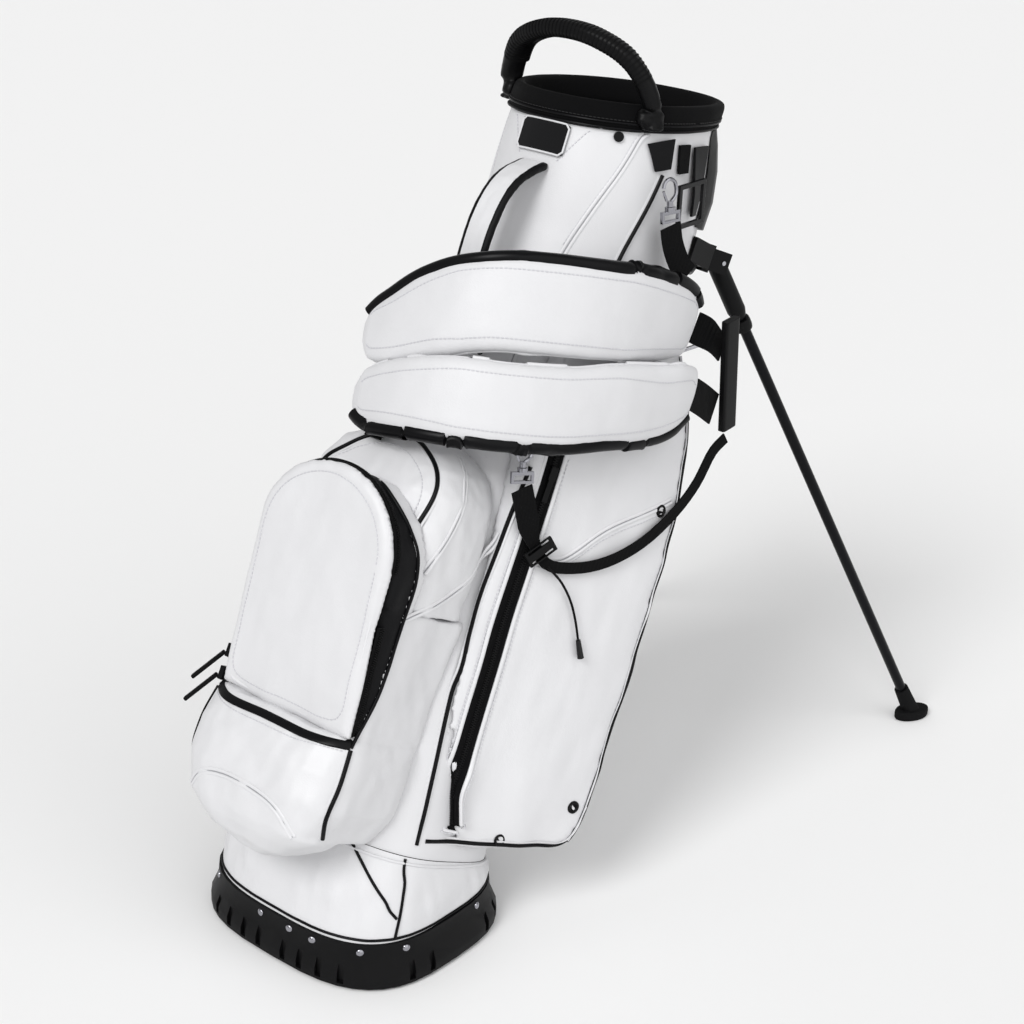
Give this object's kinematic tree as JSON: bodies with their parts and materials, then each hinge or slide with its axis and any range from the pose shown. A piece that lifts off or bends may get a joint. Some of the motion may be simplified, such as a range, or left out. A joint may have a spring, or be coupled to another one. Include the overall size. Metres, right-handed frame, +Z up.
{
  "type": "golf stand bag",
  "caption": "Golf stand bag leaning on deployed rear legs over a tilting base tray, with divided mouth, moulded handle, zipped side and ball pockets and a double padded strap.",
  "frame": {"origin": "centre of the base tray's underside, on the ground", "axes": "+Z up, +Y the way the bag leans and the legs reach, +X the side with the straps and the near apparel pocket"},
  "size_m": [0.498, 0.9787, 0.902],
  "materials": {
    "moulded_plastic": "satin",
    "bright_steel": "satin",
    "white_coated_fabric": "satin",
    "padded_white_fabric": "satin",
    "black_lining_fabric": "matte",
    "black_trim_plastic": "satin",
    "gloss_badge": "gloss",
    "black_anodised_tube": "satin",
    "black_rubber": "matte",
    "black_enamelled_metal": "gloss",
    "pull_rubber": "satin",
    "black_webbing": "matte",
    "black_coated_fabric": "satin",
    "bright_chrome": "polished",
    "black_cord": "matte",
    "cord_tip_plastic": "satin"
  },
  "bodies": {
    "base": {"base_tray": "moulded_plastic", "tilt_pin": "bright_steel", "gusset_skirt": "white_coated_fabric"},
    "bag": {"floor_plate": "moulded_plastic", "leg_bolt_right": "bright_steel", "leg_bolt_left": "bright_steel", "body_shell": "white_coated_fabric", "ball_pocket": "white_coated_fabric", "accessory_pocket": "white_coated_fabric", "apparel_pocket_right": "white_coated_fabric", "apparel_pocket_left": "white_coated_fabric", "grab_handle": "white_coated_fabric", "strap_pad_upper": "padded_white_fabric", "strap_pad_lower": "padded_white_fabric", "divider_panels": "black_lining_fabric", "divider_grid": "black_lining_fabric", "cuff": "black_lining_fabric", "top_handle": "black_trim_plastic", "rear_housing": "black_trim_plastic", "leg_bracket": "black_trim_plastic", "strap_hub": "black_trim_plastic", "ladder_slider": "black_trim_plastic", "badge_plate": "gloss_badge", "snap_button": "black_enamelled_metal", "pad_web_upper": "black_webbing", "pad_web_lower": "black_webbing", "adjuster_web": "black_webbing", "upper_web": "black_webbing", "towel_loop": "black_webbing", "anchor_tab": "black_coated_fabric", "glove_flap": "black_coated_fabric", "lower_swivel_eye": "bright_chrome", "upper_swivel_eye": "bright_chrome", "draw_cord": "black_cord", "cord_tip": "cord_tip_plastic"},
    "ball_door": {"ball_pocket_door": "white_coated_fabric"},
    "leg_right": {"leg_sleeve_right": "black_trim_plastic", "leg_tube_right": "black_anodised_tube", "leg_collar_right": "black_trim_plastic", "leg_foot_right": "black_rubber"},
    "leg_left": {"leg_sleeve_left": "black_trim_plastic", "leg_tube_left": "black_anodised_tube", "leg_collar_left": "black_trim_plastic", "leg_foot_left": "black_rubber"},
    "actuator": {"actuator_rod": "bright_steel", "carriage": "moulded_plastic"},
    "strut_right": {"strut_right": "bright_steel"},
    "strut_left": {"strut_left": "bright_steel"},
    "apparel_slider_right": {"apparel_zip_slider_right": "black_enamelled_metal"},
    "apparel_slider_left": {"apparel_zip_slider_left": "black_enamelled_metal"},
    "ball_slider_upper": {"ball_zip_slider_upper": "black_enamelled_metal"},
    "ball_slider_lower": {"ball_zip_slider_lower": "black_enamelled_metal"},
    "ball_pull_upper": {"ball_zip_pull_upper": "pull_rubber"},
    "ball_pull_lower": {"ball_zip_pull_lower": "pull_rubber"},
    "upper_hook": {"upper_hook": "bright_chrome"},
    "upper_gate": {"upper_hook_gate": "bright_chrome"},
    "lower_hook": {"lower_hook": "bright_chrome"},
    "lower_gate": {"lower_hook_gate": "bright_chrome"},
    "towel_ring": {"towel_ring": "black_trim_plastic"}
  },
  "joints": [
    {"name": "base_tilt", "type": "hinge", "parent": "base", "child": "bag", "pos_m": [0, 0.096, 0.05], "axis": [1, 0, 0], "range_deg": [0, 26.9], "deforming": ["gusset_skirt"]},
    {"name": "ball_door_open", "type": "hinge", "parent": "bag", "child": "ball_door", "pos_m": [0, -0.10365, 0.28371], "axis": [1, 0, 0], "range_deg": [0, 75]},
    {"name": "leg_right_fold", "type": "hinge", "parent": "bag", "child": "leg_right", "pos_m": [0.086, 0.46438, 0.63907], "axis": [-0.9484, 0.3107, -0.063], "range_deg": [0, 50.85]},
    {"name": "leg_left_fold", "type": "hinge", "parent": "bag", "child": "leg_left", "pos_m": [-0.086, 0.46438, 0.63907], "axis": [-0.9484, -0.3107, 0.063], "range_deg": [0, 50.85]},
    {"name": "actuator_slide", "type": "slide", "parent": "bag", "child": "actuator", "axis": [0, -0.4524, -0.8918], "range_m": [0, 0.0602]},
    {"name": "strut_right_swing", "type": "hinge", "parent": "actuator", "child": "strut_right", "pos_m": [0.028, 0.39121, 0.51696], "axis": [0.8113, -0.5777, -0.0903], "range_deg": [0, 40.82]},
    {"name": "strut_left_swing", "type": "hinge", "parent": "actuator", "child": "strut_left", "pos_m": [-0.028, 0.39121, 0.51696], "axis": [0.8113, 0.5777, 0.0903], "range_deg": [0, 40.82]},
    {"name": "apparel_zip_right_run", "type": "slide", "parent": "bag", "child": "apparel_slider_right", "axis": [0.0119, -0.4345, -0.9006], "range_m": [0, 0.27]},
    {"name": "apparel_zip_left_run", "type": "slide", "parent": "bag", "child": "apparel_slider_left", "axis": [-0.0119, -0.4345, -0.9006], "range_m": [0, 0.27]},
    {"name": "ball_zip_upper_run", "type": "slide", "parent": "bag", "child": "ball_slider_upper", "axis": [0, 0.4524, 0.8918], "range_m": [0, 0.12]},
    {"name": "ball_zip_lower_run", "type": "slide", "parent": "bag", "child": "ball_slider_lower", "axis": [0, 0.4524, 0.8918], "range_m": [0, 0.008]},
    {"name": "ball_pull_upper_swing", "type": "hinge", "parent": "ball_slider_upper", "child": "ball_pull_upper", "pos_m": [-0.104, -0.08411, 0.3006], "axis": [0, 0.8918, -0.4524], "range_deg": [-5, 30]},
    {"name": "ball_pull_lower_swing", "type": "hinge", "parent": "ball_slider_lower", "child": "ball_pull_lower", "pos_m": [-0.104, -0.09497, 0.2792], "axis": [0, 0.8918, -0.4524], "range_deg": [-20, 10]},
    {"name": "upper_hook_swivel", "type": "hinge", "parent": "bag", "child": "upper_hook", "pos_m": [0.119, 0.32491, 0.72665], "axis": [-0.1184, 0.0058, 0.9929], "range_deg": [-20, 20]},
    {"name": "upper_gate_press", "type": "hinge", "parent": "upper_hook", "child": "upper_gate", "pos_m": [0.11661, 0.32049, 0.73827], "axis": [-0.9693, 0.2163, -0.1169], "range_deg": [0, 16], "stiffness_Nm_per_rad": 0.02},
    {"name": "lower_hook_swivel", "type": "hinge", "parent": "bag", "child": "lower_hook", "pos_m": [0.112, 0.11385, 0.50293], "axis": [-0.0999, 0.1621, 0.9817], "range_deg": [-20, 20]},
    {"name": "lower_gate_press", "type": "hinge", "parent": "lower_hook", "child": "lower_gate", "pos_m": [0.1086, 0.11176, 0.51495], "axis": [-0.8704, 0.4638, -0.1651], "range_deg": [0, 16], "stiffness_Nm_per_rad": 0.02},
    {"name": "towel_ring_swing", "type": "hinge", "parent": "bag", "child": "towel_ring", "pos_m": [0.116, 0.36516, 0.74711], "axis": [0, -1, 0], "range_deg": [-4, 80]}
  ],
  "couplings": [
    {"joint": "leg_right_fold", "follows": "base_tilt", "ratio": 1.89},
    {"joint": "leg_left_fold", "follows": "base_tilt", "ratio": 1.89},
    {"joint": "actuator_slide", "follows": "base_tilt", "m_per_rad": 0.12809},
    {"joint": "strut_right_swing", "follows": "base_tilt", "ratio": 1.5171},
    {"joint": "strut_left_swing", "follows": "base_tilt", "ratio": 1.5171}
  ]
}
